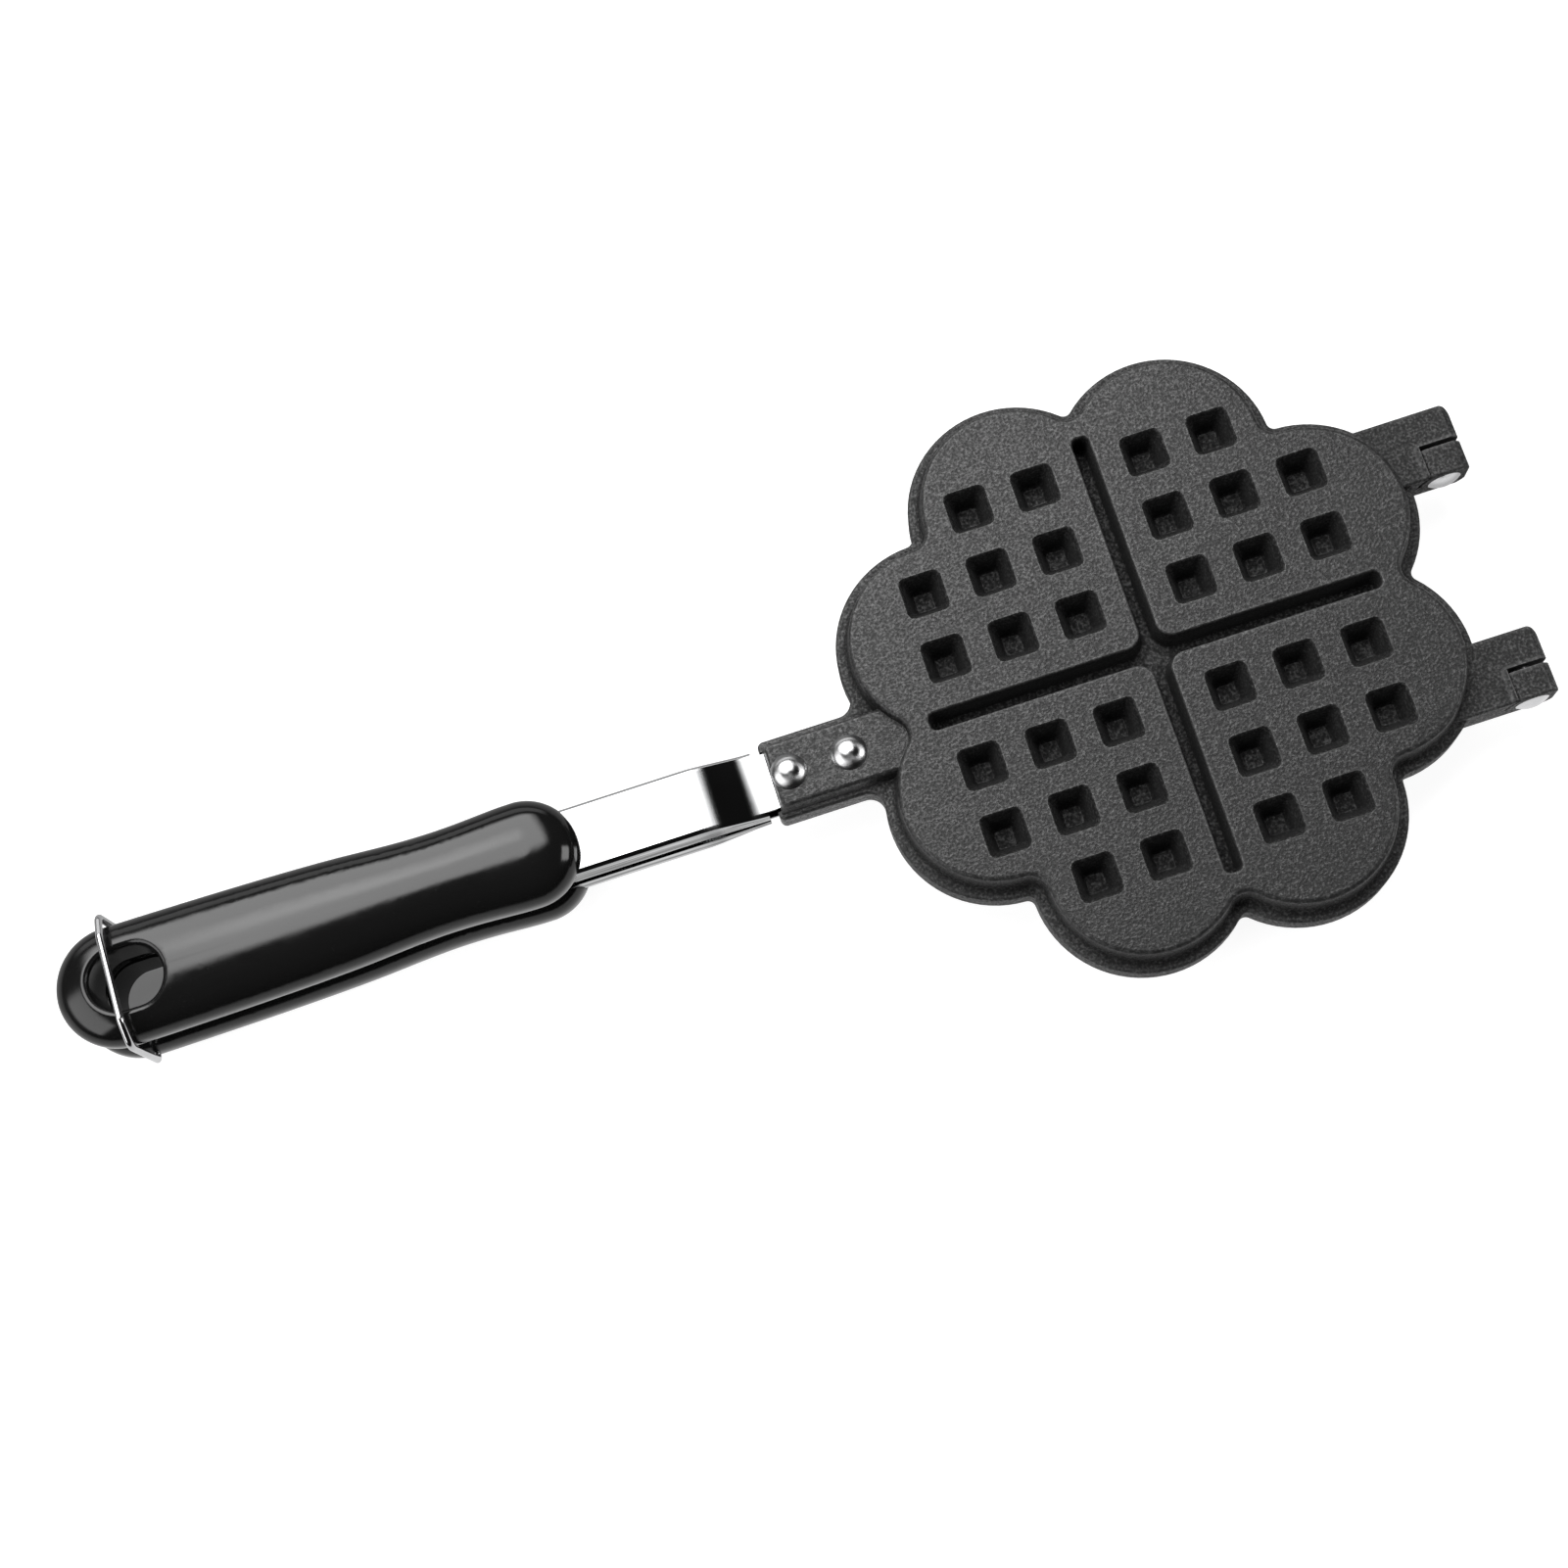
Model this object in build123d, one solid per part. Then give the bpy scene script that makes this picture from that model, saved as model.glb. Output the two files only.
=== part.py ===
from build123d import *
import os
from math import atan2, cos, degrees, pi, radians, sin, sqrt, tan

# Hand-held heart waffle pan, closed. Millimetres.
# Frame: origin at the centre of the lower plate's flat underside, +Z up,
# +X from the grips towards the hinge, +Y across.
# The two halves mirror each other about the parting plane, except for the
# hinge knuckles, which interleave. "w" is the height above the parting plane.

# ---- plates ---------------------------------------------------------------
plate_t = 11.3          # one plate, parting plane to flat outer face
parting_z = plate_t     # the parting plane's height in the object's frame
parting_gap = 0.3       # thin dark line between the two rims
lobe_r0 = 52.3          # lobe centres' distance from the plate's centre
lobe_in_cleft = 28.9    # lobe radius + cleft fillet radius, body and cavity
lobe_top = 23.9         # lobe radius at the flat outer face
lobe_foot = 24.9        # lobe radius where the wall meets the rim
lobe_rim = 27.5         # lobe radius of the flat rim
rim_t = 4.0             # rim thickness
rim_cleft = 2.0         # fillet in the rim's clefts
cavity_top = 21.1       # lobe radius of the cavity's ceiling
cavity_foot = 22.5      # lobe radius of the cavity at the parting plane
cavity_d = 8.3          # cavity depth
edge_top = 1.2          # rounding of the outer face's edge
edge_rim = 0.8          # rounding of the rim's outer edge
edge_in = 1.6           # casting fillet between wall and rim

# ---- pockets and slots, pressed in from outside, raised inside ------------
pitch = 17.6            # pocket pitch
first = 14.47           # first pocket row from the centre lines
pocket_w = 10.4         # pocket mouth
pocket_floor_w = 5.3    # pocket floor
pocket_d = 7.7          # pocket depth
pocket_r = 1.3          # pocket corner radius at the mouth
bump_tip = 9.4          # square bump inside: tip width
bump_root = 13.6        # and width at the cavity's ceiling
bump_short = 1.0        # tips stop this far from the parting plane
slot_w = 4.7            # cross slots' width at the outer face
slot_end = 58.8         # cross slots reach this far from the centre
slot_round = 4.0        # rounding of the four corners at the crossing
slot_end_r = 1.8        # rounding of the corners at the slots' ends
ridge_tip = 6.4         # ridge between the hearts inside: tip width
mouth_soft = 0.45       # softened edge round every pocket and slot
floor_soft = 0.6        # and round every pocket's floor
bump_soft = 0.8         # and round every bump's tip
chords = 2              # flats that make up a pocket's or bump's rounded corner

# ---- tongue ---------------------------------------------------------------
tongue_x = -101.2       # free end
tongue_hw = 10.5        # half width at the rim's level
tongue_fillet = 4.0     # fillets into the rim
pad_h = 8.3             # top of the raised pad above the parting plane
pad_hw = 9.35           # half width at the pad's foot
pad_draft = 13.0        # draft of the pad's walls, degrees
channel_hw = 8.05       # recess under the tongue that takes the shank
rivet_x = (-95.5, -79.8)
rivet_r = 2.5           # rivet body radius
rivet_head_r = 4.6      # domed head radius
rivet_head_h = 2.1
rivet_tail_r = 3.7
rivet_tail_h = 1.6

# ---- hinge ----------------------------------------------------------------
hinge_x = 85.3          # hinge axis, along Y in the parting plane
arm_y = 30.6            # arm centres at +y and -y
arm_hw = 8.85           # arm half width
arm_h = 5.8             # arm thickness above the parting plane
knuckle_r = 6.7         # knuckles are round only where they have to be,
knuckle_out_r = 7.1     # fuller on the side away from the plates,
knuckle_end = 6.3       # flat at the end, this far past the axis,
knuckle_corner = 3.0    # with this plan rounding at the +Y corner of the +Y ones,
arm_edge = 0.7          # and softened round their outer faces
relief_r = 7.35         # hollow in the arm that clears the other knuckle
split_hi = -0.05        # the two knuckles of an arm meet across a slit from
split_lo = -1.25        # here to here, measured from the arm's centre
pin_r = 2.0
pin_play = 0.06         # radial play in the upper plate's knuckles
pin_head_r = 4.3
pin_head_t = 1.3

# ---- shank: bent steel channel ---------------------------------------------
steel_t = 1.2
shank_hw = 8.67         # half width of the channel
strap_hw = 7.2          # half width of its flat end under the tongue
channel_past = 1.4      # the sides end this far past the slope
web_w = 9.2             # top of the web, straight part
strap_w = 4.7           # top of the flat end
slope_x0 = -118.8       # the web slopes down from here
slope_x1 = -104.9       # to here
shank_end = -74.0
flange_w = 1.9          # lower edge of the channel's sides
tang_x = -191.2         # end of the shank inside the grip
tang_w = 3.3            # lower edge of the sides inside the grip
bend_r = 20.0           # bends of the slope
fold_r = 1.4            # folds between the web and the sides

# ---- grip -------------------------------------------------------------------
grip_c = 9.6            # height of the widest line above the parting plane
grip_up = 8.2           # from there to the crown
grip_dn = 8.4           # from there to the flat side that faces the other grip
grip_end_r = 15.3
grip_tip_r = 13.55
grip_width = (          # half width along the grip
    (-270.0, 15.30), (-259.0, 15.22), (-248.0, 15.08), (-233.0, 14.80),
    (-218.0, 14.35), (-208.0, 13.85), (-199.0, 13.20), (-189.0, 12.72),
    (-180.0, 12.80), (-172.0, 13.25), (-163.85, 13.55),
)
grip_n_up = 2.35        # fullness of the crowned side
grip_n_dn = 2.8         # fullness of the flat side
hole_x = -265.9         # hanging hole
hole_len = 19.0
hole_wid = 15.2
hole_round = 1.4
screw_w = 5.9           # height of the fixing screw above the parting plane
screw_r = 2.0

# ---- latch wire ---------------------------------------------------------------
wire_r = 0.95
bail_pivot_x = -269.6   # both ends turn in the lower grip's sides
bail_pivot_z = 2.4
bail_top_x = -268.9
bail_top_z = 31.0       # crossbar centre
bail_hw = 16.85         # half distance between the legs
bail_flat = 10.8        # half length of the straight crossbar
bail_shoulder_z = 27.4  # the legs bend inwards above this
bail_in = 10.2          # the ends reach inwards to this y
bail_play = 0.08


def polar(r, a):
    return (r * cos(radians(a)), r * sin(radians(a)))


def lobed(r, rho, w=0.0):
    """Face with eight lobes of radius r and cleft fillets of radius rho."""
    arcs = []
    half = lobe_r0 * sin(radians(22.5))
    base = lobe_r0 * cos(radians(22.5))
    fc = base + sqrt((r + rho) ** 2 - half ** 2)
    for k in range(8):
        a = 22.5 + 45.0 * k
        cx, cy = polar(lobe_r0, a)
        fx0, fy0 = polar(fc, a - 22.5)
        fx1, fy1 = polar(fc, a + 22.5)
        q = r / (r + rho)
        p0 = (cx + (fx0 - cx) * q, cy + (fy0 - cy) * q)
        p1 = (cx + (fx1 - cx) * q, cy + (fy1 - cy) * q)
        tip = polar(lobe_r0 + r, a)
        arcs.append(ThreePointArc(p0, tip, p1))
        nx, ny = polar(lobe_r0, a + 45.0)
        p2 = (nx + (fx1 - nx) * q, ny + (fy1 - ny) * q)
        arcs.append(ThreePointArc(p1, polar(fc - rho, a + 22.5), p2))
    face = make_face(Wire(arcs).edges())
    return Pos(0, 0, w) * face


def block(x0, x1, y0, y1, z0, z1):
    return Pos((x0 + x1) / 2, (y0 + y1) / 2, (z0 + z1) / 2) * Box(x1 - x0, y1 - y0, z1 - z0)


def ring(width, r, w):
    """Corner points of a square of the given width with corners of radius r."""
    pts = []
    c = width / 2 - r
    for k, (sx, sy) in enumerate(((1, 1), (-1, 1), (-1, -1), (1, -1))):
        for j in range(chords + 1):
            a = radians(90.0 * (k + j / chords))
            pts.append((sx * c + r * cos(a), sy * c + r * sin(a), w))
    return pts


def tapered(*rings):
    """Flat-sided solid through the given (width, corner radius, height) squares."""
    return ConvexPolyhedron([p for q in rings for p in ring(*q)])


def pocket_centres():
    rows = [first, first + pitch, first + 2 * pitch]
    out = []
    for i, a in enumerate(rows):
        for j, b in enumerate(rows):
            if i == 2 and j == 2:
                continue
            for sx in (-1, 1):
                for sy in (-1, 1):
                    out.append((sx * a, sy * b))
    return out


def cross(width, reach, corner, end_r, w):
    """Plus-shaped face, rounded at the crossing and at its four ends."""
    sk = Rectangle(2 * reach, width) + Rectangle(width, 2 * reach)
    inner = [v for v in sk.vertices() if abs(v.X) < width and abs(v.Y) < width]
    sk = fillet(inner, corner)
    outer = [v for v in sk.vertices() if max(abs(v.X), abs(v.Y)) > reach - 0.01]
    sk = fillet(outer, end_r)
    return Pos(0, 0, w) * sk


def edges_at(part, w, tol=0.01):
    out = []
    for e in part.edges():
        b = e.bounding_box()
        if abs(b.min.Z - w) < tol and abs(b.max.Z - w) < tol:
            out.append(e)
    return out


# ---- one plate, in w (0 = parting plane, plate_t = outer face) -----------------
def plate_casting():
    """All of a plate but its hinge arms; the two plates share it."""
    g = parting_gap / 2

    # rim with the tongue in the cleft at -X
    rim = lobed(lobe_rim, rim_cleft, 0.0)
    rim = rim + Pos((tongue_x - 60.0) / 2, 0) * Rectangle(-60.0 - tongue_x, 2 * tongue_hw)
    joins = [v for v in rim.vertices()
             if abs(abs(v.Y) - tongue_hw) < 0.05 and -80 < v.X < -70]
    rim = fillet(joins, tongue_fillet)
    ends = [v for v in rim.vertices() if v.X < tongue_x + 0.01]
    rim = fillet(ends, 1.6)
    rim = Pos(0, 0, g) * extrude(rim, rim_t - g)
    rim = fillet(edges_at(rim, rim_t), edge_rim)

    # raised body with a drafted wall
    body = loft([lobed(lobe_foot, lobe_in_cleft - lobe_foot, rim_t - 1.0),
                 lobed(lobe_top, lobe_in_cleft - lobe_top, plate_t)], ruled=True)
    body = fillet(edges_at(body, plate_t), edge_top)
    out = rim + body
    foot = []
    for e in edges_at(out, rim_t, 0.02):
        c = e.center()
        r = sqrt(c.X ** 2 + c.Y ** 2)
        if r < 77.2 and not (c.X < -77 and abs(c.Y) < 14):
            foot.append(e)
    try:
        out = fillet(foot, edge_in)
    except Exception as err:
        print("wall fillet left out:", err)

    # raised pad on the tongue
    pad = extrude(Pos((tongue_x + 0.5 - 60.0) / 2, 0, rim_t - 1.0)
                  * Rectangle(-60.0 - tongue_x - 0.5, 2 * pad_hw), pad_h - rim_t + 1.0,
                  taper=pad_draft)
    long_top = [e for e in edges_at(pad, pad_h) if e.center().X < -65]
    pad = fillet(long_top, 1.1)
    pad = pad & block(tongue_x + 0.3, -61.0, -20, 20, 0, 12)
    out = out + pad

    # waffle cavity
    cavity = loft([lobed(cavity_foot, lobe_in_cleft - cavity_foot, -0.01),
                   lobed(cavity_top, lobe_in_cleft - cavity_top, cavity_d)], ruled=True)
    cavity = fillet(edges_at(cavity, cavity_d), 1.0)
    out = out - cavity

    # square bumps and the ridges between the hearts
    draft = (bump_root - bump_tip) / (cavity_d - bump_short)
    root = cavity_d + 0.7
    bump = tapered(
        (bump_tip - 1.4 * bump_soft, 1.4, bump_short),
        (bump_tip + draft * bump_soft, 1.8, bump_short + bump_soft),
        (bump_tip + draft * (root - bump_short), 2.6, root))
    bumps = [Pos(x, y, 0) * bump for x, y in pocket_centres()]
    ridge_h = root - bump_short
    ridge = extrude(cross(ridge_tip, 62.5, 4.5, 1.0, bump_short), ridge_h,
                    taper=-degrees(atan2(1.3, ridge_h)))
    ridge = fillet(edges_at(ridge, bump_short), bump_soft)
    ridge = ridge & extrude(lobed(lobe_foot - 1.2, lobe_in_cleft - lobe_foot + 1.2, 0), 12)
    out = Part() + out.fuse(*[b.solid() for b in bumps], ridge.solid())

    # pockets and cross slots from outside
    low = plate_t - pocket_d
    lean = (pocket_w - pocket_floor_w) / pocket_d
    over = 0.3
    cutter = tapered(
        (pocket_floor_w - 1.4 * floor_soft, 0.5, low),
        (pocket_floor_w + lean * floor_soft, 0.8, low + floor_soft),
        (pocket_w + lean * over, pocket_r, plate_t + over))
    lip = tapered(
        (pocket_w - lean * mouth_soft, pocket_r, plate_t - mouth_soft),
        (pocket_w + 1.5 * mouth_soft, pocket_r + 0.4, plate_t),
        (pocket_w + 1.5 * mouth_soft, pocket_r + 0.4, plate_t + over))
    cutter = (cutter + lip).solid()
    slot = extrude(cross(slot_w, slot_end, slot_round, slot_end_r, plate_t), -pocket_d, taper=7.8)
    slot = fillet(edges_at(slot, low), 0.7)
    out = out.cut(*[Pos(x, y, 0) * cutter for x, y in pocket_centres()], slot.solid())
    out = Part() + out
    mouth = []
    for e in edges_at(out, plate_t):
        c = e.center()
        if min(abs(c.X), abs(c.Y)) < slot_w / 2 + slot_round + 0.5 \
                and max(abs(c.X), abs(c.Y)) < slot_end + 0.5:
            mouth.append(e)
    print("slot mouth edges", len(mouth))
    try:
        out = fillet(mouth, mouth_soft)
    except Exception as err:
        print("slot mouth rounding left out:", err)

    # recess for the shank, rivet holes
    out = out - block(tongue_x - 1, -73.6, -channel_hw, channel_hw, -1, strap_w)
    for x in rivet_x:
        out = out - Pos(x, 0, 5) * Cylinder(rivet_r, 12)
    return out


def plate(casting, knuckle_side):
    """knuckle_side +1: this plate's knuckle is the +Y half of each arm."""
    g = parting_gap / 2
    core = extrude(lobed(lobe_foot - 1.0, lobe_in_cleft - lobe_foot + 1.0, -2), 16)
    out = casting
    # side view of an arm: flat, with the knuckle's two roundings at its end
    inner = Pos(hinge_x, 0) * Circle(knuckle_r) \
        & Pos(hinge_x - 5, 0) * Rectangle(10, 2 * arm_h)
    outer = Pos(hinge_x, 0) * Circle(knuckle_out_r) \
        & Pos(hinge_x + knuckle_end / 2, 0) * Rectangle(knuckle_end, 2 * arm_h)
    flat = Pos((60.0 + hinge_x) / 2, (g + arm_h) / 2) * Rectangle(hinge_x - 60.0, arm_h - g)
    profile = Plane.XZ * (flat + inner + outer)
    for s in (-1, 1):
        yc = s * arm_y
        split = yc + (split_hi if knuckle_side > 0 else split_lo)
        # one long prism, its outer faces' edges softened
        whole = Pos(0, yc, 0) * extrude(profile, arm_hw, both=True)
        faces = [e for e in whole.edges()
                 if abs(abs(e.center().Y - yc) - arm_hw) < 0.01
                 and e.bounding_box().size.Y < 0.01
                 and e.center().X > 60.5 and abs(e.center().Z - g) > 0.01]
        whole = fillet(faces, arm_edge)
        if knuckle_side > 0:
            plan = block(50, hinge_x + knuckle_end, yc - 20, yc + arm_hw, -20, 20)
            plan = fillet([e for e in plan.edges().filter_by(Axis.Z)
                           if e.center().X > hinge_x and e.center().Y > yc], knuckle_corner)
            whole = whole & plan
        # the half without a knuckle ends in a hollow round the other plate's
        lo, hi = (yc - arm_hw - 1, split) if knuckle_side > 0 else (split, yc + arm_hw + 1)
        hollow = Pos(hinge_x, (lo + hi) / 2, 0) * Rot(90, 0, 0) * Cylinder(relief_r, hi - lo)
        whole = whole - hollow - block(hinge_x - 3.0, hinge_x + 10, lo, hi, -20, 20) \
            - block(50, hinge_x + 10, lo, hi, -20, g)
        out = out + (whole - core)

    # pin holes: tight in the lower plate's knuckles, running in the upper's
    r = pin_r + (pin_play if knuckle_side > 0 else 0.0)
    for s in (-1, 1):
        out = out - Pos(hinge_x, s * arm_y, 0) * Rot(90, 0, 0) * Cylinder(r, 2 * arm_hw + 2)
    # keep clear of the other plate at the parting plane, knuckles excepted
    out = out - block(-120, hinge_x - relief_r - 0.1, -90, 90, -9, g)
    return out


def up(shape):
    return Pos(0, 0, parting_z) * shape


def down(shape):
    return Pos(0, 0, parting_z) * mirror(shape, about=Plane.XY)


# ---- shank, in w ------------------------------------------------------------------
def shank():
    def side(off_top, x_left):
        top = [(x_left, web_w - off_top), (slope_x0, web_w - off_top),
               (slope_x1, strap_w - off_top), (slope_x1 + 4.0, strap_w - off_top)]
        bend = FilletPolyline(*top, radius=bend_r)
        low = Polyline(top[-1], (slope_x1 + 4.0, -4), (x_left, -4), top[0])
        return Plane.XZ * make_face(bend.edges() + low.edges())

    body = extrude(side(0.0, tang_x), shank_hw, both=True)
    low = Polyline((tang_x - 1, tang_w), (-158.0, tang_w), (-154.0, flange_w),
                   (slope_x0, flange_w), (slope_x1 + 4.1, 0.7), (slope_x1 + 4.1, -6),
                   (tang_x - 1, -6), close=True)
    below = extrude(Plane.XZ * make_face(low), 20, both=True)
    long_top = []
    for e in body.edges():
        b = e.bounding_box()
        if b.min.Z > strap_w - 0.01 and abs(abs(e.center().Y) - shank_hw) < 0.01 \
                and b.size.X > 0.5:
            long_top.append(e)
    body = fillet(long_top, fold_r)
    inner = extrude(side(steel_t, tang_x + steel_t), shank_hw - steel_t, both=True)
    long_in = []
    for e in inner.edges():
        b = e.bounding_box()
        if b.min.Z > strap_w - steel_t - 0.01 and b.size.X > 0.5 \
                and abs(abs(e.center().Y) - shank_hw + steel_t) < 0.01:
            long_in.append(e)
    inner = fillet(long_in, 0.4)
    body = body - inner - below
    # cut the channel square at the tongue; its web runs on as a flat strap
    body = body - block(slope_x1 + channel_past, slope_x1 + 10, -20, 20, -10, 20)
    strap = block(slope_x1 - 0.5, shank_end, -strap_hw, strap_hw, strap_w - steel_t, strap_w)
    strap = fillet([e for e in strap.edges().filter_by(Axis.Z) if e.center().X > -80], 2.0)
    body = body + strap
    for x in rivet_x:
        body = body - Pos(x, 0, strap_w) * Cylinder(rivet_r, 6)
    # tapped hole for the grip's screw in the turned-down end
    body = body - Pos(tang_x, 0, screw_w) * Rot(0, 90, 0) * Cylinder(screw_r, 6)
    return body


# ---- rivet, in w -------------------------------------------------------------------
def rivet(x):
    h = rivet_head_h
    ball = (rivet_head_r ** 2 + h ** 2) / (2 * h)
    head = Pos(0, 0, pad_h + h - ball) * Sphere(ball) & \
        Pos(0, 0, pad_h + 5) * Cylinder(10, 10)
    shaft = Pos(0, 0, (strap_w - steel_t + pad_h + 0.5) / 2) \
        * Cylinder(rivet_r, pad_h + 0.5 - strap_w + steel_t)
    tail = Pos(0, 0, strap_w - steel_t - rivet_tail_h / 2) * Cylinder(rivet_tail_r, rivet_tail_h)
    tail = fillet(edges_at(tail, strap_w - steel_t - rivet_tail_h), 0.9)
    return Pos(x, 0, 0) * (head + shaft + tail)


# ---- grip, in w --------------------------------------------------------------------
def half_profile(r, m=9):
    """Points of the right half of the section, from the flat side to the crown."""
    pts = []
    for k in range(1, m):
        t = pi / 2 * k / m
        pts.append((r * sin(t) ** (2 / grip_n_dn), grip_c - grip_dn * cos(t) ** (2 / grip_n_dn)))
    pts.append((r, grip_c))
    for k in range(1, m):
        t = pi / 2 * k / m
        pts.append((r * cos(t) ** (2 / grip_n_up), grip_c + grip_up * sin(t) ** (2 / grip_n_up)))
    return pts


def half_edge(r, x=0.0, side=1):
    pts = [Vector(x, 0, grip_c - grip_dn)]
    pts += [Vector(x, side * y, w) for y, w in half_profile(r)]
    pts += [Vector(x, 0, grip_c + grip_up)]
    return Edge.make_spline(pts, tangents=[Vector(0, side, 0), Vector(0, -side, 0)])


def grip():
    mid = loft([Face(Wire([half_edge(hw, x, 1), half_edge(hw, x, -1)])) for x, hw in grip_width])

    def turned(x, r, sense):
        axis_line = Edge.make_line(Vector(0, 0, grip_c + grip_up), Vector(0, 0, grip_c - grip_dn))
        half = Face(Wire([half_edge(r), axis_line]))
        return Pos(x, 0, 0) * revolve(half, Axis.Z, revolution_arc=180 * sense)

    out = mid + turned(grip_width[0][0], grip_end_r, 1) + turned(grip_width[-1][0], grip_tip_r, -1)
    hole = Pos(hole_x, 0, 0) * extrude(SlotOverall(hole_len, hole_wid), 40, both=True)
    out = out - hole
    rims = []
    for e in out.edges():
        b = e.bounding_box()
        if b.min.X > hole_x - hole_len / 2 - 0.1 and b.max.X < hole_x + hole_len / 2 + 0.1 \
                and abs(b.min.Y) < hole_wid / 2 + 0.05 and abs(b.max.Y) < hole_wid / 2 + 0.05 \
                and b.size.Z < 3 and (b.size.X > 0.3 or b.size.Y > 0.3):
            rims.append(e)
    print("hole rim edges", len(rims))
    try:
        out = fillet(rims, hole_round)
    except Exception as err:
        print("hole rounding left out:", err)
    # slot at the tip for the channel, then the recess for its end
    out = out - block(-158.6, -140, -shank_hw - 0.1, shank_hw + 0.1, -5, web_w)
    out = out - block(tang_x - 0.2, -150, -shank_hw - 0.1, shank_hw + 0.1, tang_w - 0.2, web_w)
    # screw: clearance hole, and a seat for its head off the hanging hole
    out = out - Pos((tang_x - 255) / 2, 0, screw_w) * Rot(0, 90, 0) * Cylinder(screw_r + 0.25, 255 + tang_x + 8)
    out = out - Pos((-262 - 252.6) / 2, 0, screw_w) * Rot(0, 90, 0) * Cylinder(4.0, 262 - 252.6)
    return out


def grip_screw():
    head = Pos((-255.4 - 252.6) / 2, 0, 0) * Rot(0, 90, 0) * Cylinder(3.7, 2.8)
    head = fillet([e for e in head.edges() if e.center().X < -255.3 and e.geom_type == GeomType.CIRCLE], 1.0)
    shaft = Pos((-253.0 - 183.0) / 2, 0, 0) * Rot(0, 90, 0) * Cylinder(screw_r, 70.0)
    drive = block(-257, -254.2, -0.6, 0.6, -5, 5)
    return Pos(0, 0, screw_w) * (head + shaft - drive)


# ---- hinge pin, in the object's frame, head on the -Y side ------------------------------
def hinge_pin(yc):
    y0, y1 = yc - arm_hw, yc + arm_hw
    ball = (pin_head_r ** 2 + pin_head_t ** 2) / (2 * pin_head_t)
    shaft = Pos(0, (y0 - 0.4 + y1 - 0.3) / 2, 0) * Rot(90, 0, 0) * Cylinder(pin_r, y1 - 0.3 - y0 + 0.4)
    head = Pos(0, y0 - pin_head_t + ball, 0) * Sphere(ball) & block(-9, 9, y0 - 5, y0, -9, 9)
    return Pos(hinge_x, 0, parting_z) * (shaft + head)


# ---- latch wire, in the object's frame ------------------------------------------------------
def latch_wire():
    px, pz, tx, tz = bail_pivot_x, bail_pivot_z, bail_top_x, bail_top_z
    sx = px + (tx - px) * (bail_shoulder_z - pz) / (tz - pz)
    pts = [(px, -bail_in, pz), (px, -bail_hw, pz), (sx, -bail_hw, bail_shoulder_z),
           (tx, -bail_flat, tz), (tx, bail_flat, tz), (sx, bail_hw, bail_shoulder_z),
           (px, bail_hw, pz), (px, bail_in, pz)]
    path = FilletPolyline(*pts, radius=[1.35, 3.0, 3.0, 3.0, 3.0, 1.35])
    prof = Plane(origin=pts[0], z_dir=(0, -1, 0)) * Circle(wire_r)
    return sweep(prof, path=path)


def lower_grip_holes(shape):
    """Blind pivot holes for the wire's ends."""
    for s in (-1, 1):
        y0, y1 = s * (bail_in - 0.8), s * 20.0
        shape = shape - Pos(bail_pivot_x, (y0 + y1) / 2, bail_pivot_z) * Rot(90, 0, 0) \
            * Cylinder(wire_r + bail_play, abs(y1 - y0))
    return shape


parts = {}
the_casting = plate_casting()
parts["upper_plate"] = up(plate(the_casting, +1))
parts["lower_plate"] = down(plate(the_casting, -1))
the_shank = shank()
parts["upper_shank"] = up(the_shank)
parts["lower_shank"] = down(the_shank)
the_grip = grip()
parts["upper_grip"] = up(the_grip)
parts["lower_grip"] = lower_grip_holes(down(the_grip))
rivets = [rivet(x) for x in rivet_x]
parts["upper_rivets"] = Compound([s for r in rivets for s in up(r).solids()])
parts["lower_rivets"] = Compound([s for r in rivets for s in down(r).solids()])
screw = grip_screw()
parts["upper_grip_screw"] = up(screw)
parts["lower_grip_screw"] = down(screw)
parts["near_hinge_pin"] = hinge_pin(-arm_y)
parts["far_hinge_pin"] = hinge_pin(arm_y)
parts["latch_wire"] = latch_wire()

os.makedirs("parts", exist_ok=True)
for name, shape in parts.items():
    solids = shape.solids()
    print(name, len(solids), round(sum(s.volume for s in solids), 1),
          [s.is_valid for s in solids])
    whole = solids[0] if len(solids) == 1 else Compound(solids)
    whole.label = name
    export_step(whole, os.path.join("parts", name + ".step"))
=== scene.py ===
import math

import bmesh
import bpy
from mathutils import Matrix, Vector

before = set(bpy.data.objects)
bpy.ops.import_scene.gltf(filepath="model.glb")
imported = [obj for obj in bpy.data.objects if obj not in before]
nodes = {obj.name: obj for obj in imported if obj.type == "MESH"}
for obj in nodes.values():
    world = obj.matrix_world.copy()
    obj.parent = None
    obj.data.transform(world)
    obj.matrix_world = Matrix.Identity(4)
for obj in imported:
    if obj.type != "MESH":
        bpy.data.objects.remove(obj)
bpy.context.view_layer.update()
scene = bpy.context.scene
MM = 0.001

# ---------------------------------------------------------------- camera
# Axes and place solved from the grid of pockets; the frame's origin is the
# centre of the lower plate's underside.
cam_data = bpy.data.cameras.new("camera")
cam_data.sensor_width = 36.0
cam_data.lens = 61.79
cam_data.clip_start = 0.01
cam_data.clip_end = 50.0
cam = bpy.data.objects.new("camera", cam_data)
scene.collection.objects.link(cam)
ax = Vector((0.95157, -0.29914, -0.07098))
ay = Vector((0.30744, 0.92480, 0.22415))
az = Vector((-0.00140, -0.23511, 0.97197))
loc = Vector((-98.54, -159.71, 646.22 + 22.6)) * MM
cam.matrix_world = Matrix((
    (ax.x, ay.x, az.x, loc.x),
    (ax.y, ay.y, az.y, loc.y),
    (ax.z, ay.z, az.z, loc.z),
    (0, 0, 0, 1)))
scene.camera = cam


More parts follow.
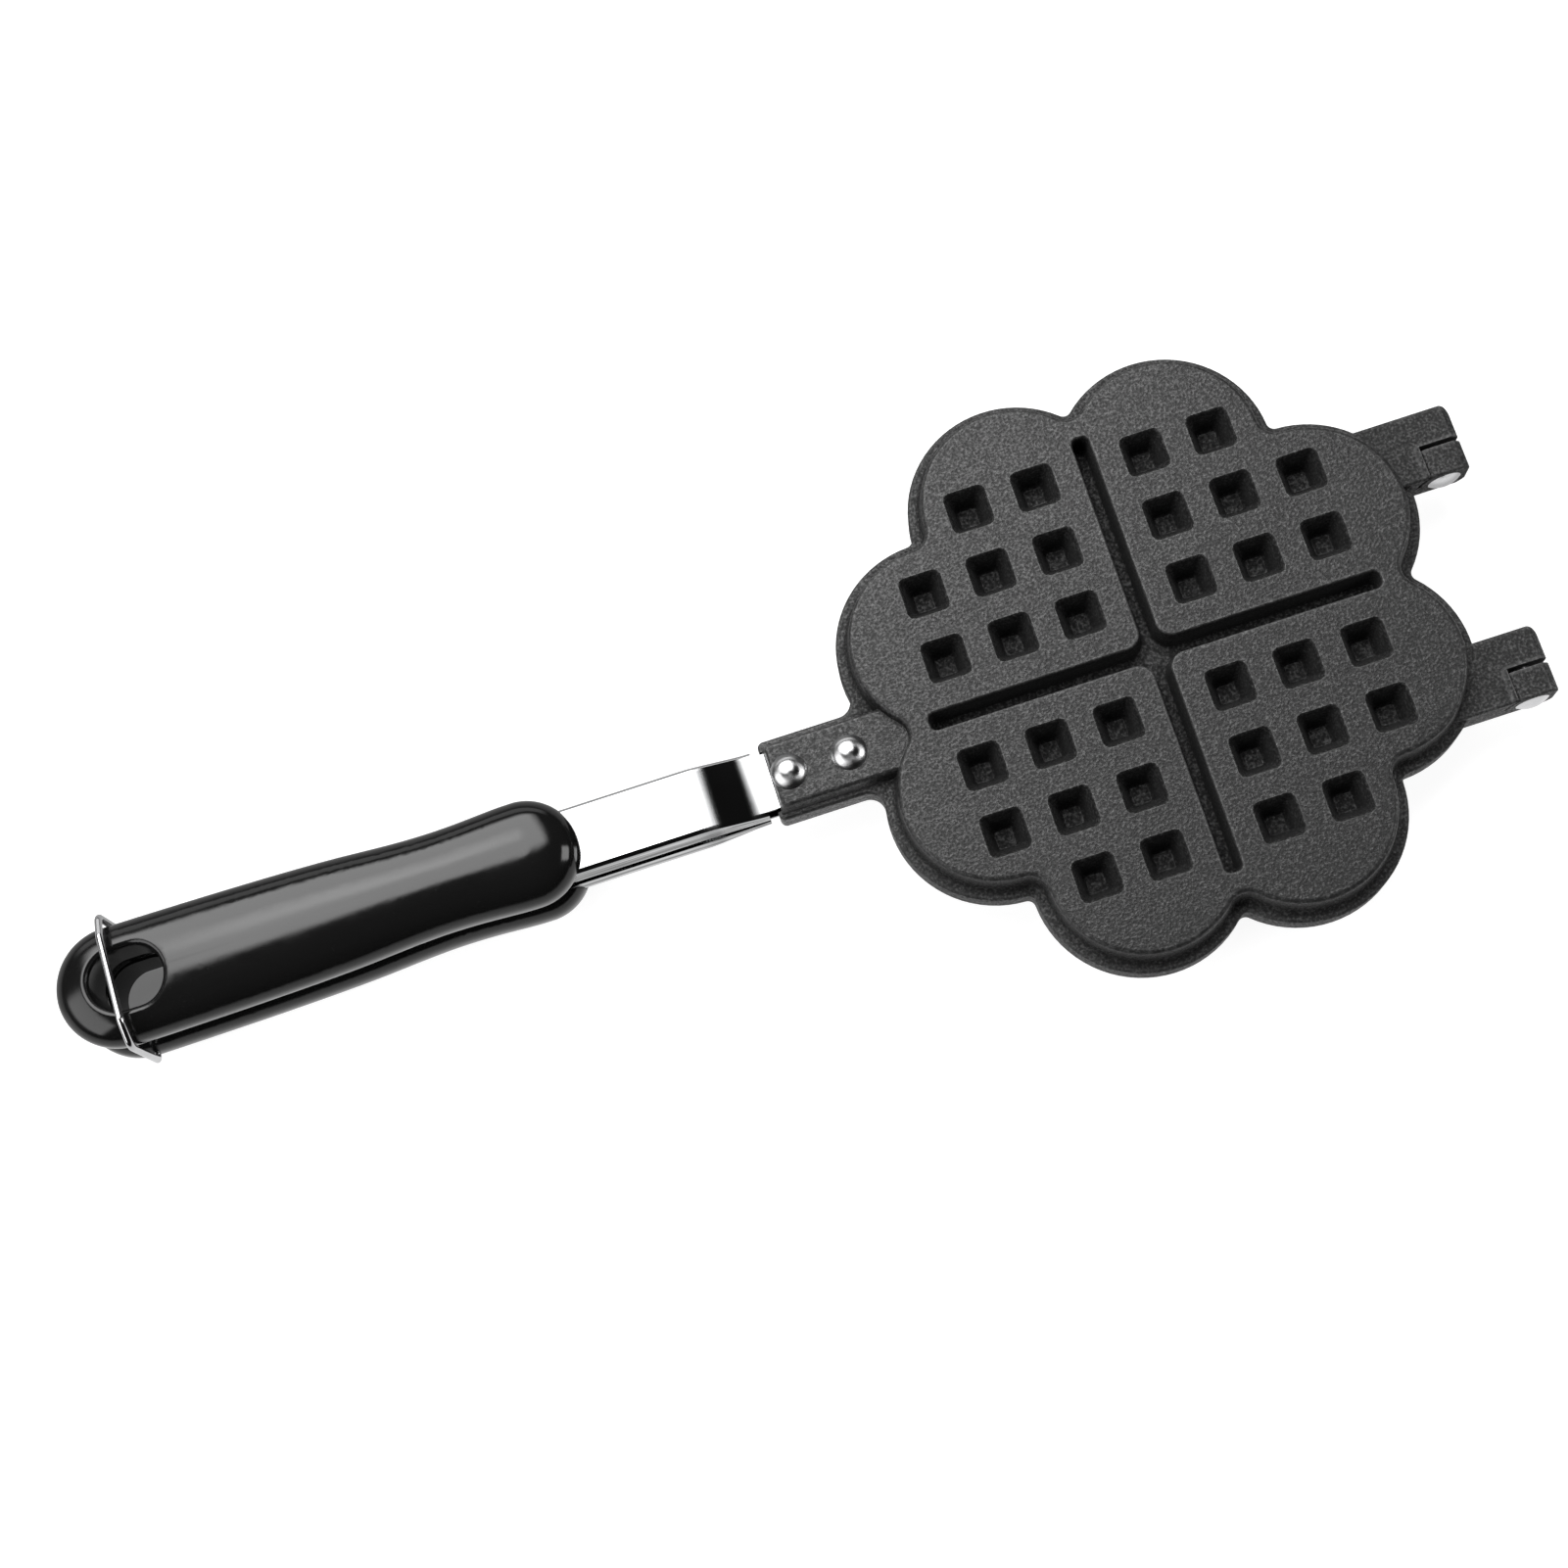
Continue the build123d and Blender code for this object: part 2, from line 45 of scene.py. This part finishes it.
# ---------------------------------------------------------------- materials
def new_mat(name):
    m = bpy.data.materials.new(name)
    m.use_nodes = True
    nt = m.node_tree
    nt.nodes.clear()
    out = nt.nodes.new("ShaderNodeOutputMaterial")
    bsdf = nt.nodes.new("ShaderNodeBsdfPrincipled")
    nt.links.new(bsdf.outputs[0], out.inputs[0])
    return m, nt, bsdf


def node(nt, kind, **inputs):
    n = nt.nodes.new(kind)
    for k, v in inputs.items():
        n.inputs[k.replace("_", " ")].default_value = v
    return n


def coords(nt):
    return nt.nodes.new("ShaderNodeTexCoord").outputs["Object"]


def ramp(nt, src, stops):
    r = nt.nodes.new("ShaderNodeValToRGB")
    el = r.color_ramp.elements
    while len(el) < len(stops):
        el.new(0.5)
    for e, (p, c) in zip(el, stops):
        e.position = p
        e.color = (c, c, c, 1) if not isinstance(c, tuple) else c
    nt.links.new(src, r.inputs[0])
    return r.outputs[0]


def noise(nt, vec, scale, detail=2.0, rough=0.5):
    n = node(nt, "ShaderNodeTexNoise", Scale=scale, Detail=detail, Roughness=rough)
    nt.links.new(vec, n.inputs["Vector"])
    return n.outputs["Fac"]


def mixed(nt, kind, a, b, factor=1.0):
    n = nt.nodes.new("ShaderNodeMix")
    n.data_type = "RGBA"
    n.blend_type = kind
    n.clamp_result = False
    n.inputs[0].default_value = factor
    nt.links.new(a, n.inputs[6])
    nt.links.new(b, n.inputs[7])
    return n.outputs[2]


def multiply(nt, a, b):
    return mixed(nt, "MULTIPLY", a, b)


def add(nt, a, b, factor):
    return mixed(nt, "ADD", a, b, factor)


def stretched(nt, vec, scale):
    mp = nt.nodes.new("ShaderNodeMapping")
    mp.inputs["Scale"].default_value = scale
    nt.links.new(vec, mp.inputs["Vector"])
    return mp.outputs[0]


def set_finish(obj, mat):
    obj.data.materials.clear()
    obj.data.materials.append(mat)


def coating():
    """Matt dark grey non-stick coating with a fine sparkling grain over sand-cast metal."""
    m, nt, b = new_mat("nonstick_coating")
    v = coords(nt)
    grain = noise(nt, v, 1450.0, 2.0, 0.60)
    coarse = noise(nt, v, 520.0, 3.0, 0.6)
    cloud = noise(nt, v, 24.0, 3.0, 0.6)
    vor = node(nt, "ShaderNodeTexVoronoi", Scale=1150.0)
    nt.links.new(v, vor.inputs["Vector"])
    # painted shade in the deep pockets: their colour is darkened by ambient occlusion, and their
    # film is duller than on the outer faces
    deep = nt.nodes.new("ShaderNodeAmbientOcclusion")
    deep.samples = 8
    deep.inputs["Distance"].default_value = 0.012
    open_ = deep.outputs["AO"]
    # light grains of the coating among dark ones
    base = ramp(nt, grain, [(0.32, 0.0020), (0.50, 0.0075), (0.66, 0.048)])
    fleck = ramp(nt, vor.outputs["Distance"], [(0.0, 1.6), (0.38, 1.0), (0.75, 0.65)])
    tone = multiply(nt, multiply(nt, base, fleck), ramp(nt, cloud, [(0.30, 0.84), (0.72, 1.14)]))
    # painted shade: the more enclosed a spot, the darker its colour
    tone = multiply(nt, tone, ramp(nt, open_, [(0.28, 0.80), (0.62, 1.0)]))
    # painted shade on the pockets' upright walls: their colour is darkened where the pockets
    # enclose them, more than on the floors
    hard = nt.nodes.new("ShaderNodeNewGeometry")
    turn = nt.nodes.new("ShaderNodeSeparateXYZ")
    nt.links.new(nt.nodes.new("ShaderNodeTexCoord").outputs["Normal"], turn.inputs[0])
    flatness = nt.nodes.new("ShaderNodeMath")
    flatness.operation = "ABSOLUTE"
    nt.links.new(turn.outputs[2], flatness.inputs[0])
    # mask of enclosed upright walls, used for painted shade and for roughness
    wall_shade_and_dull = multiply(nt, ramp(nt, flatness.outputs[0], [(0.35, 1.0), (0.75, 0.0)]),
                    ramp(nt, open_, [(0.46, 1.0), (0.66, 0.0)]))
    tone = multiply(nt, tone, ramp(nt, wall_shade_and_dull, [(0.0, 1.0), (1.0, 0.30)]))
    # the edges are lightened: partly the film rubbed thin, partly a painted highlight
    soft = node(nt, "ShaderNodeBevel", Radius=0.00045)
    soft.samples = 4
    dot = nt.nodes.new("ShaderNodeVectorMath")
    dot.operation = "DOT_PRODUCT"
    nt.links.new(soft.outputs[0], dot.inputs[0])
    nt.links.new(hard.outputs["Normal"], dot.inputs[1])
    edge = ramp(nt, dot.outputs["Value"], [(0.86, 0.072), (0.992, 0.0)])
    # and a painted highlight along the casting's rounded outer edges
    outer = nt.nodes.new("ShaderNodeAmbientOcclusion")
    outer.samples = 8
    outer.inside = True
    outer.inputs["Distance"].default_value = 0.0014
    rounded_edge_highlight = ramp(nt, outer.outputs["AO"], [(0.45, 0.0), (0.56, 0.085), (0.90, 0.0)])
    # edge wear and painted edge highlight, broken up by the coarse noise
    edge_wear_and_highlight = multiply(nt, add(nt, edge, rounded_edge_highlight, 1.0),
                    ramp(nt, coarse, [(0.35, 0.35), (0.65, 1.0)]))
    nt.links.new(add(nt, tone, edge_wear_and_highlight, 1.0), b.inputs["Base Color"])
    # the rims and hinge arms stand back from the faces that get wiped and are duller
    sep = nt.nodes.new("ShaderNodeSeparateXYZ")
    nt.links.new(v, sep.inputs[0])
    lift = nt.nodes.new("ShaderNodeMath")
    lift.operation = "SUBTRACT"
    nt.links.new(sep.outputs[2], lift.inputs[0])
    lift.inputs[1].default_value = 0.0113
    level = nt.nodes.new("ShaderNodeMath")
    level.operation = "ABSOLUTE"
    nt.links.new(lift.outputs[0], level.inputs[0])
    back = nt.nodes.new("ShaderNodeMapRange")
    back.inputs["From Min"].default_value = 0.0059
    back.inputs["From Max"].default_value = 0.0080
    nt.links.new(level.outputs[0], back.inputs["Value"])
    tongue = nt.nodes.new("ShaderNodeMapRange")
    tongue.inputs["From Min"].default_value = -0.0800
    tongue.inputs["From Max"].default_value = -0.0740
    tongue.inputs["To Min"].default_value = 1.0
    tongue.inputs["To Max"].default_value = 0.0
    nt.links.new(sep.outputs[0], tongue.inputs["Value"])
    wiped = nt.nodes.new("ShaderNodeMath")
    wiped.operation = "MAXIMUM"
    nt.links.new(back.outputs[0], wiped.inputs[0])
    nt.links.new(tongue.outputs[0], wiped.inputs[1])
    dull = add(nt, ramp(nt, grain, [(0.34, 0.56), (0.64, 0.24)]),
               ramp(nt, open_, [(0.28, 0.30), (0.60, 0.0)]), 1.0)
    dull = add(nt, dull, ramp(nt, wiped.outputs[0], [(0.0, 0.20), (1.0, 0.0)]), 1.0)
    dull = add(nt, dull, ramp(nt, wall_shade_and_dull, [(0.0, 0.0), (1.0, 0.40)]), 1.0)
    nt.links.new(dull, b.inputs["Roughness"])
    b.inputs["Specular IOR Level"].default_value = 0.38
    height = add(nt, grain, coarse, 0.35)
    bump = node(nt, "ShaderNodeBump", Strength=0.75, Distance=0.00016)
    nt.links.new(height, bump.inputs["Height"])
    nt.links.new(bump.outputs[0], b.inputs["Normal"])
    return m


def black_moulding():
    """Polished black thermoset: long soft mould ripples, dust and hairline scuffs."""
    m, nt, b = new_mat("black_moulding")
    v = coords(nt)
    smear = noise(nt, stretched(nt, v, (0.35, 1.0, 1.0)), 55.0, 5.0, 0.65)
    dust = noise(nt, v, 1300.0, 2.0, 0.7)
    nt.links.new(ramp(nt, dust, [(0.0, 0.0058), (0.68, 0.0066), (0.82, 0.022)]),
                 b.inputs["Base Color"])
    b.inputs["Specular IOR Level"].default_value = 0.42
    nt.links.new(ramp(nt, smear, [(0.34, 0.075), (0.74, 0.20)]), b.inputs["Roughness"])
    bump = node(nt, "ShaderNodeBump", Strength=0.09, Distance=0.0002)
    nt.links.new(noise(nt, stretched(nt, v, (0.5, 1.0, 1.0)), 120.0, 2.0, 0.5),
                 bump.inputs["Height"])
    nt.links.new(bump.outputs[0], b.inputs["Normal"])
    return m


def metal(name, colour, rough_lo, rough_hi, scale, bump_s=0.0, bump_scale=300.0, stretch=None):
    m, nt, b = new_mat(name)
    v = coords(nt)
    if stretch:
        v = stretched(nt, v, stretch)
    b.inputs["Metallic"].default_value = 1.0
    tone = noise(nt, v, scale * 0.6, 4.0, 0.6)
    lo = tuple(c * 0.90 for c in colour) + (1,)
    nt.links.new(ramp(nt, tone, [(0.35, lo), (0.65, (*colour, 1))]), b.inputs["Base Color"])
    nt.links.new(ramp(nt, noise(nt, v, scale, 3.0, 0.6), [(0.3, rough_lo), (0.7, rough_hi)]),
                 b.inputs["Roughness"])
    if bump_s:
        bump = node(nt, "ShaderNodeBump", Strength=bump_s, Distance=0.00005)
        nt.links.new(noise(nt, v, bump_scale, 2.0, 0.5), bump.inputs["Height"])
        nt.links.new(bump.outputs[0], b.inputs["Normal"])
    return m


def plated(name, colour, rough_lo, rough_hi):
    """Mirror plating; the bent-down sides keep the long drawing lines of the strip."""
    m, nt, b = new_mat(name)
    v = coords(nt)
    b.inputs["Metallic"].default_value = 1.0
    tone = noise(nt, v, 24.0, 4.0, 0.6)
    lo = tuple(c * 0.90 for c in colour) + (1,)
    base = ramp(nt, tone, [(0.35, lo), (0.65, (*colour, 1))])
    lines = ramp(nt, noise(nt, stretched(nt, v, (0.035, 1.0, 1.0)), 620.0, 4.0, 0.7),
                 [(0.38, 0.06), (0.50, 0.36), (0.62, 1.0)])
    geo = nt.nodes.new("ShaderNodeNewGeometry")
    turn = nt.nodes.new("ShaderNodeSeparateXYZ")
    nt.links.new(geo.outputs["Normal"], turn.inputs[0])
    side = nt.nodes.new("ShaderNodeMath")
    side.operation = "ABSOLUTE"
    nt.links.new(turn.outputs[1], side.inputs[0])
    mask = ramp(nt, side.outputs[0], [(0.86, 0.0), (0.97, 1.0)])
    n = nt.nodes.new("ShaderNodeMix")
    n.data_type = "RGBA"
    n.blend_type = "MULTIPLY"
    nt.links.new(mask, n.inputs[0])
    nt.links.new(base, n.inputs[6])
    nt.links.new(lines, n.inputs[7])
    nt.links.new(n.outputs[2], b.inputs["Base Color"])
    rough = ramp(nt, noise(nt, v, 40.0, 3.0, 0.6), [(0.3, rough_lo), (0.7, rough_hi)])
    rough = add(nt, rough, ramp(nt, side.outputs[0], [(0.86, 0.0), (0.97, 0.14)]), 1.0)
    # the plating is a little dull over the two bends of the slope
    place = nt.nodes.new("ShaderNodeSeparateXYZ")
    nt.links.new(v, place.inputs[0])
    along = nt.nodes.new("ShaderNodeMapRange")
    along.inputs["From Min"].default_value = -0.1240
    along.inputs["From Max"].default_value = -0.1000
    nt.links.new(place.outputs[0], along.inputs["Value"])
    bends = ramp(nt, along.outputs[0], [(0.08, 0.0), (0.22, 0.22), (0.30, 0.22), (0.38, 0.0),
                                        (0.66, 0.0), (0.71, 0.13), (0.77, 0.13), (0.86, 0.0)])
    nt.links.new(add(nt, rough, bends, 1.0), b.inputs["Roughness"])
    bump = node(nt, "ShaderNodeBump", Strength=0.05, Distance=0.00005)
    nt.links.new(noise(nt, v, 120.0, 2.0, 0.5), bump.inputs["Height"])
    nt.links.new(bump.outputs[0], b.inputs["Normal"])
    return m


def turned_metal(name, colour, rough_lo, rough_hi, centres):
    """Polished heads with the fine rings of the tool round each centre."""
    m, nt, b = new_mat(name)
    v = coords(nt)
    sep = nt.nodes.new("ShaderNodeSeparateXYZ")
    nt.links.new(v, sep.inputs[0])
    mid = sum(centres) / 2
    side = nt.nodes.new("ShaderNodeMath")
    side.operation = "GREATER_THAN"
    nt.links.new(sep.outputs[0], side.inputs[0])
    side.inputs[1].default_value = mid
    cx = nt.nodes.new("ShaderNodeMapRange")
    cx.inputs["To Min"].default_value = centres[0]
    cx.inputs["To Max"].default_value = centres[1]
    nt.links.new(side.outputs[0], cx.inputs["Value"])
    dx = nt.nodes.new("ShaderNodeMath")
    dx.operation = "SUBTRACT"
    nt.links.new(sep.outputs[0], dx.inputs[0])
    nt.links.new(cx.outputs[0], dx.inputs[1])
    neg = nt.nodes.new("ShaderNodeMath")
    neg.operation = "MULTIPLY"
    nt.links.new(sep.outputs[1], neg.inputs[0])
    neg.inputs[1].default_value = -1.0
    tan = nt.nodes.new("ShaderNodeCombineXYZ")
    nt.links.new(neg.outputs[0], tan.inputs[0])
    nt.links.new(dx.outputs[0], tan.inputs[1])
    nt.links.new(tan.outputs[0], b.inputs["Tangent"])
    b.inputs["Metallic"].default_value = 1.0
    b.inputs["Anisotropic"].default_value = 0.90
    tone = noise(nt, v, 420.0, 4.0, 0.6)
    lo = tuple(c * 0.86 for c in colour) + (1,)
    nt.links.new(ramp(nt, tone, [(0.35, lo), (0.65, (*colour, 1))]), b.inputs["Base Color"])
    nt.links.new(ramp(nt, noise(nt, v, 300.0, 3.0, 0.6), [(0.3, rough_lo), (0.7, rough_hi)]),
                 b.inputs["Roughness"])
    bump = node(nt, "ShaderNodeBump", Strength=0.25, Distance=0.00005)
    nt.links.new(noise(nt, v, 620.0, 2.0, 0.5), bump.inputs["Height"])
    nt.links.new(bump.outputs[0], b.inputs["Normal"])
    return m


MAT = {
    "plate": coating(),
    "grip": black_moulding(),
    "chrome": plated("mirror_chrome", (0.62, 0.625, 0.63), 0.05, 0.09),
    "rivet": turned_metal("polished_rivet", (0.66, 0.66, 0.665), 0.25, 0.34, (-0.0955, -0.0798)),
    "pin": metal("pin_steel", (0.80, 0.80, 0.81), 0.16, 0.28, 300.0, 0.3, 700.0),
    "wire": metal("drawn_wire", (0.66, 0.66, 0.67), 0.12, 0.22, 200.0, 0.25, 700.0,
                  stretch=(1.0, 0.25, 1.0)),
    "screw": metal("zinc_screw", (0.70, 0.71, 0.72), 0.2, 0.32, 300.0),
}

FINISH = {
    "upper_plate": "plate", "lower_plate": "plate",
    "upper_shank": "chrome", "lower_shank": "chrome",
    "upper_grip": "grip", "lower_grip": "grip",
    "upper_rivets": "rivet", "lower_rivets": "rivet",
    "near_hinge_pin": "pin", "far_hinge_pin": "pin",
    "latch_wire": "wire",
    "upper_grip_screw": "screw", "lower_grip_screw": "screw",
}
for name, key in FINISH.items():
    set_finish(nodes[name], MAT[key])


# ---------------------------------------------------------------- smooth shading
def smoothing(angle):
    """Welds the mesh and shades it smooth, except across edges sharper than the angle."""
    g = bpy.data.node_groups.new("smooth_to_%d" % angle, "GeometryNodeTree")
    g.interface.new_socket("Geometry", in_out="INPUT", socket_type="NodeSocketGeometry")
    g.interface.new_socket("Geometry", in_out="OUTPUT", socket_type="NodeSocketGeometry")
    gi = g.nodes.new("NodeGroupInput")
    go = g.nodes.new("NodeGroupOutput")
    weld = g.nodes.new("GeometryNodeMergeByDistance")
    weld.inputs["Distance"].default_value = 2e-6
    drop = g.nodes.new("GeometryNodeRemoveAttribute")
    drop.inputs["Name"].default_value = "custom_normal"
    faces = g.nodes.new("GeometryNodeSetShadeSmooth")
    faces.domain = "FACE"
    faces.inputs["Shade Smooth"].default_value = True
    edges = g.nodes.new("GeometryNodeSetShadeSmooth")
    edges.domain = "EDGE"
    edges.inputs["Shade Smooth"].default_value = False
    ang = g.nodes.new("GeometryNodeInputMeshEdgeAngle")
    cmp_ = g.nodes.new("FunctionNodeCompare")
    cmp_.data_type = "FLOAT"
    cmp_.operation = "GREATER_THAN"
    cmp_.inputs["B"].default_value = math.radians(angle)
    g.links.new(gi.outputs[0], drop.inputs["Geometry"])
    g.links.new(drop.outputs[0], weld.inputs["Geometry"])
    g.links.new(weld.outputs[0], faces.inputs["Geometry"])
    g.links.new(faces.outputs[0], edges.inputs["Geometry"])
    g.links.new(ang.outputs["Unsigned Angle"], cmp_.inputs["A"])
    g.links.new(cmp_.outputs["Result"], edges.inputs["Selection"])
    g.links.new(edges.outputs[0], go.inputs[0])
    return g


smooth = smoothing(34)
for name, obj in nodes.items():
    mod = obj.modifiers.new("smooth", "NODES")
    mod.node_group = smooth
    if name.endswith(("_plate", "_shank")):
        # large flat faces keep their own normal next to a rounded edge
        flat = obj.modifiers.new("flat_faces", "WEIGHTED_NORMAL")
        flat.mode = "FACE_AREA"
        flat.weight = 50
        flat.keep_sharp = True

# ---------------------------------------------------------------- floor
floor_z = -6.62 * MM
mesh = bpy.data.meshes.new("floor")
bm = bmesh.new()
bmesh.ops.create_grid(bm, x_segments=1, y_segments=1, size=6.0)
bm.to_mesh(mesh)
bm.free()
floor = bpy.data.objects.new("floor", mesh)
floor.location = (-0.09, 0, floor_z)
scene.collection.objects.link(floor)
floor_mat = bpy.data.materials.new("pale_floor")
floor_mat.use_nodes = True
fnt = floor_mat.node_tree
fnt.nodes.clear()
fout = fnt.nodes.new("ShaderNodeOutputMaterial")
fdif = fnt.nodes.new("ShaderNodeBsdfDiffuse")
fdif.inputs["Color"].default_value = (0.34, 0.34, 0.34, 1)
fem = fnt.nodes.new("ShaderNodeEmission")
# painted shadow: the floor's own glow fades in a disc under the grips' end
fpos = fnt.nodes.new("ShaderNodeTexCoord")
fmap = fnt.nodes.new("ShaderNodeMapping")
fmap.inputs["Location"].default_value = (0.1812, -0.0025, 0.0)
fnt.links.new(fpos.outputs["Object"], fmap.inputs["Vector"])
fsq = fnt.nodes.new("ShaderNodeVectorMath")
fsq.operation = "LENGTH"
fnt.links.new(fmap.outputs[0], fsq.inputs[0])
fglow_and_painted_shadow = fnt.nodes.new("ShaderNodeMapRange")
fglow_and_painted_shadow.interpolation_type = "SMOOTHSTEP"
fglow_and_painted_shadow.inputs["From Min"].default_value = 0.007
fglow_and_painted_shadow.inputs["From Max"].default_value = 0.017
fglow_and_painted_shadow.inputs["To Min"].default_value = 0.14
fglow_and_painted_shadow.inputs["To Max"].default_value = 0.90
fnt.links.new(fsq.outputs["Value"], fglow_and_painted_shadow.inputs["Value"])
fnt.links.new(fglow_and_painted_shadow.outputs[0], fem.inputs["Strength"])
fdark = fnt.nodes.new("ShaderNodeBsdfDiffuse")
fdark.inputs["Color"].default_value = (0.55, 0.55, 0.55, 1)
fsum = fnt.nodes.new("ShaderNodeAddShader")
fpath = fnt.nodes.new("ShaderNodeLightPath")
fpick = fnt.nodes.new("ShaderNodeMixShader")
fnt.links.new(fdif.outputs[0], fsum.inputs[0])
fnt.links.new(fem.outputs[0], fsum.inputs[1])
fnt.links.new(fpath.outputs["Is Camera Ray"], fpick.inputs[0])
fmid = fnt.nodes.new("ShaderNodeEmission")
fnear = fnt.nodes.new("ShaderNodeMapRange")
fnear.interpolation_type = "SMOOTHSTEP"
fnear.inputs["From Min"].default_value = 0.03
fnear.inputs["From Max"].default_value = 0.45
fnear.inputs["To Min"].default_value = 0.85
fnear.inputs["To Max"].default_value = 0.35
fline = fnt.nodes.new("ShaderNodeSeparateXYZ")
fnt.links.new(fpos.outputs["Object"], fline.inputs[0])
foff = fnt.nodes.new("ShaderNodeMath")
foff.operation = "ABSOLUTE"
fnt.links.new(fline.outputs[1], foff.inputs[0])
fnt.links.new(foff.outputs[0], fnear.inputs["Value"])
# the same painted shadow under the grips' end, in the floor that reflections show
fshade = fnt.nodes.new("ShaderNodeMapRange")
fshade.interpolation_type = "SMOOTHSTEP"
fshade.inputs["From Min"].default_value = 0.007
fshade.inputs["From Max"].default_value = 0.019
fshade.inputs["To Min"].default_value = 0.12
fnt.links.new(fsq.outputs["Value"], fshade.inputs["Value"])
ffar = fnt.nodes.new("ShaderNodeMapRange")
ffar.inputs["From Min"].default_value = -0.01
ffar.inputs["From Max"].default_value = 0.01
ffar.inputs["To Min"].default_value = 1.0
ffar.inputs["To Max"].default_value = 0.6
fnt.links.new(fline.outputs[1], ffar.inputs["Value"])
fhalf = fnt.nodes.new("ShaderNodeMath")
fhalf.operation = "MULTIPLY"
fnt.links.new(fnear.outputs[0], fhalf.inputs[0])
fnt.links.new(ffar.outputs[0], fhalf.inputs[1])
fboth = fnt.nodes.new("ShaderNodeMath")
fboth.operation = "MULTIPLY"
fnt.links.new(fhalf.outputs[0], fboth.inputs[0])
fnt.links.new(fshade.outputs[0], fboth.inputs[1])
fnt.links.new(fboth.outputs[0], fmid.inputs["Strength"])
fgloss = fnt.nodes.new("ShaderNodeMixShader")
fnt.links.new(fpath.outputs["Is Glossy Ray"], fgloss.inputs[0])
fnt.links.new(fdark.outputs[0], fgloss.inputs[1])
fnt.links.new(fmid.outputs[0], fgloss.inputs[2])
fnt.links.new(fgloss.outputs[0], fpick.inputs[1])
fnt.links.new(fsum.outputs[0], fpick.inputs[2])
fnt.links.new(fpick.outputs[0], fout.inputs[0])
set_finish(floor, floor_mat)


# ---------------------------------------------------------------- light
def area(name, direction, distance, sx, sy, radiance, target=(-0.08, 0, 0.02), soft=None):
    """A rectangular soft light that looks at the target from a direction.
    soft: shares of the two sides over which it fades out, as a fabric-fronted box does."""
    d = Vector(direction).normalized()
    data = bpy.data.lights.new(name, "AREA")
    data.shape = "RECTANGLE"
    data.size, data.size_y = sx, sy
    data.energy = radiance * math.pi * sx * sy
    o = bpy.data.objects.new(name, data)
    o.location = Vector(target) + d * distance
    o.rotation_euler = (-d).to_track_quat("-Z", "Y").to_euler()
    o.visible_camera = False
    scene.collection.objects.link(o)
    if soft:
        data.use_nodes = True
        lt = data.node_tree
        em = next(n for n in lt.nodes if n.type == "EMISSION")
        geo = lt.nodes.new("ShaderNodeNewGeometry")
        sep = lt.nodes.new("ShaderNodeSeparateXYZ")
        lt.links.new(geo.outputs["Parametric"], sep.inputs[0])
        parts = []
        for out, fade in zip((sep.outputs[0], sep.outputs[1]), soft):
            off = math_node(lt, "SUBTRACT", out, 0.5)
            dist = math_node(lt, "ABSOLUTE", off)
            mr = lt.nodes.new("ShaderNodeMapRange")
            mr.interpolation_type = "SMOOTHSTEP"
            mr.inputs["From Min"].default_value = 0.5
            mr.inputs["From Max"].default_value = 0.5 - fade
            mr.inputs["To Min"].default_value = 0.0
            mr.inputs["To Max"].default_value = 1.0
            lt.links.new(dist, mr.inputs["Value"])
            parts.append(mr.outputs[0])
        both = math_node(lt, "MULTIPLY", parts[0])
        lt.links.new(parts[1], both.node.inputs[1])
        lt.links.new(both, em.inputs["Strength"])
    return o


def math_node(nt, op, a, b=None):
    n = nt.nodes.new("ShaderNodeMath")
    n.operation = op
    nt.links.new(a, n.inputs[0])
    if b is not None:
        n.inputs[1].default_value = b
    return n.outputs[0]


# a wide softbox behind and above, its edge just past the vertical, and two small side lights
area("softbox_back", (-0.11, 0.555, 0.825), 1.6, 2.1, 1.85, 5.7, soft=(0.28, 0.18))
area("softbox_hot", (-0.24, 0.42, 0.88), 1.35, 0.70, 0.50, 2.6, soft=(0.5, 0.5))
area("softbox_left", (-0.80, -0.22, 0.55), 1.5, 1.6, 1.1, 2.9, soft=(0.15, 0.15))
area("softbox_right", (0.86, -0.16, 0.46), 1.5, 0.66, 0.80, 5.2, soft=(0.18, 0.18))
area("card_back", (-0.10, 0.97, 0.22), 1.6, 2.8, 0.55, 1.0, soft=(0.2, 0.2))

world = bpy.data.worlds.new("studio")
scene.world = world
world.use_nodes = True
wt = world.node_tree
wt.nodes.clear()
wout = wt.nodes.new("ShaderNodeOutputWorld")
wpale = wt.nodes.new("ShaderNodeBackground")
wpale.inputs["Strength"].default_value = 1.0
wdim = wt.nodes.new("ShaderNodeBackground")
wdim.inputs["Strength"].default_value = 0.008
wpath = wt.nodes.new("ShaderNodeLightPath")
wmix = wt.nodes.new("ShaderNodeMixShader")
wt.links.new(wpath.outputs["Is Camera Ray"], wmix.inputs[0])
wt.links.new(wdim.outputs[0], wmix.inputs[1])
wt.links.new(wpale.outputs[0], wmix.inputs[2])
wt.links.new(wmix.outputs[0], wout.inputs[0])

scene.view_settings.view_transform = "Standard"
scene.view_settings.look = "None"
